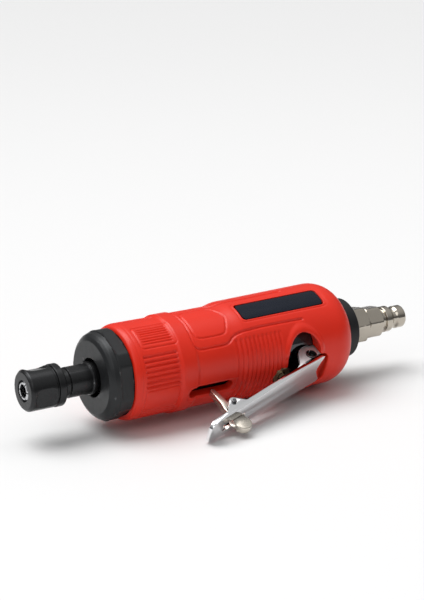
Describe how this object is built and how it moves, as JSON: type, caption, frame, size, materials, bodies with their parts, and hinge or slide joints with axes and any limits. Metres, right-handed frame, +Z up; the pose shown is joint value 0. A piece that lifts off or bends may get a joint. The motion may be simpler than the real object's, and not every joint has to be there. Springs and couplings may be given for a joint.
{
  "type": "air die grinder",
  "caption": "Straight air-powered die grinder with a collet nose, moulded grip, squeeze throttle lever with a lock-off catch, rear exhaust ring and push-in air plug.",
  "frame": {"origin": "middle of the underside of the bounding box, with the tool lying on its levers and grip", "axes": "+X along the tool's axis from the collet to the air plug, +Z up, and the levers on the -Y side"},
  "size_m": [0.205, 0.0688, 0.0485],
  "materials": {
    "red_grip": "satin moulded grip",
    "black_rubber": "satin black moulding",
    "seal_rubber": "matt black",
    "black_oxide": "black oxide",
    "dark_steel": "dark satin steel",
    "bright_steel": "ground steel",
    "black_metal": "black anodised",
    "alloy": "machined",
    "lever_chrome": "polished chrome plate",
    "warm_nickel": "satin nickel plate",
    "nickel": "bright nickel plate",
    "brass": "turned brass",
    "felt": "pressed felt",
    "panel_blue": "glossy dark blue",
    "fibre": "pressed fibre laminate"
  },
  "bodies": {
    "housing": {"front_cap": "dark_steel", "cap_seal": "seal_rubber", "bearing_retainer": "bright_steel", "front_bearing_outer_race": "bright_steel", "rear_bearing_outer_race": "bright_steel", "front_end_plate": "alloy", "motor_cylinder": "dark_steel", "cylinder_dowel": "bright_steel", "rear_end_plate": "alloy", "wave_washer": "bright_steel", "grip": "red_grip", "core": "black_metal", "panel_plate": "panel_blue", "exhaust_ring": "black_rubber", "muffler_felt": "felt", "inlet_bushing": "nickel", "inlet_screen": "brass", "air_plug": "nickel", "lever_bracket": "black_oxide", "bracket_screw_1": "black_oxide", "bracket_screw_2": "black_oxide", "lever_pin": "dark_steel", "valve_bushing": "brass", "stem_seal": "seal_rubber", "valve_seat": "seal_rubber", "valve_spring": "bright_steel"},
    "spindle": {"rotor_spindle": "dark_steel", "collet": "bright_steel", "vane_1": "fibre", "vane_2": "fibre", "vane_3": "fibre", "vane_4": "fibre", "vane_5": "fibre", "shaft_clip": "dark_steel", "front_bearing_inner_race": "bright_steel", "rear_bearing_inner_race": "bright_steel"},
    "nut": {"collet_nut": "black_oxide"},
    "front_balls": {"front_bearing_balls": "bright_steel"},
    "rear_balls": {"rear_bearing_balls": "bright_steel"},
    "throttle": {"throttle_lever": "lever_chrome", "lock_pin": "dark_steel", "lock_spring": "bright_steel"},
    "lock": {"lock_lever": "warm_nickel"},
    "stem": {"valve_stem": "nickel"}
  },
  "joints": [
    {"name": "spindle_spin", "type": "hinge", "parent": "housing", "child": "spindle", "pos_m": [-0.06945, 0.01048, 0.02454], "axis": [1, 0, 0], "continuous": true},
    {"name": "collet_nut_turn", "type": "hinge", "parent": "spindle", "child": "nut", "pos_m": [-0.08945, 0.01048, 0.02454], "axis": [-1, 0, 0], "range_deg": [0, 360]},
    {"name": "front_cage_spin", "type": "hinge", "parent": "housing", "child": "front_balls", "pos_m": [-0.05745, 0.01048, 0.02454], "axis": [1, 0, 0], "continuous": true},
    {"name": "rear_cage_spin", "type": "hinge", "parent": "housing", "child": "rear_balls", "pos_m": [0.00005, 0.01048, 0.02454], "axis": [1, 0, 0], "continuous": true},
    {"name": "throttle_lever_pivot", "type": "hinge", "parent": "housing", "child": "throttle", "pos_m": [0.03385, -0.00783, 0.01601], "axis": [0, 0.4226, -0.9063], "range_deg": [0, 8.4], "stiffness_Nm_per_rad": 2, "springref_deg": -17.19},
    {"name": "lock_lever_pivot", "type": "hinge", "parent": "throttle", "child": "lock", "pos_m": [-0.01779, -0.02274, 0.00905], "axis": [0, 0.4226, -0.9063], "range_deg": [0, 31.3], "stiffness_Nm_per_rad": 0.01, "springref_deg": -28.65},
    {"name": "valve_stem_slide", "type": "slide", "parent": "housing", "child": "stem", "axis": [0, 0.9063, 0.4226], "range_m": [0, 0.00245], "stiffness_N_per_m": 50, "springref_m": -0.003}
  ],
  "couplings": [
    {"joint": "front_cage_spin", "follows": "spindle_spin", "ratio": 0.42},
    {"joint": "rear_cage_spin", "follows": "spindle_spin", "ratio": 0.4},
    {"joint": "lock_lever_pivot", "follows": "throttle_lever_pivot", "ratio": 3.72},
    {"joint": "valve_stem_slide", "follows": "throttle_lever_pivot", "m_per_rad": 0.0165}
  ]
}
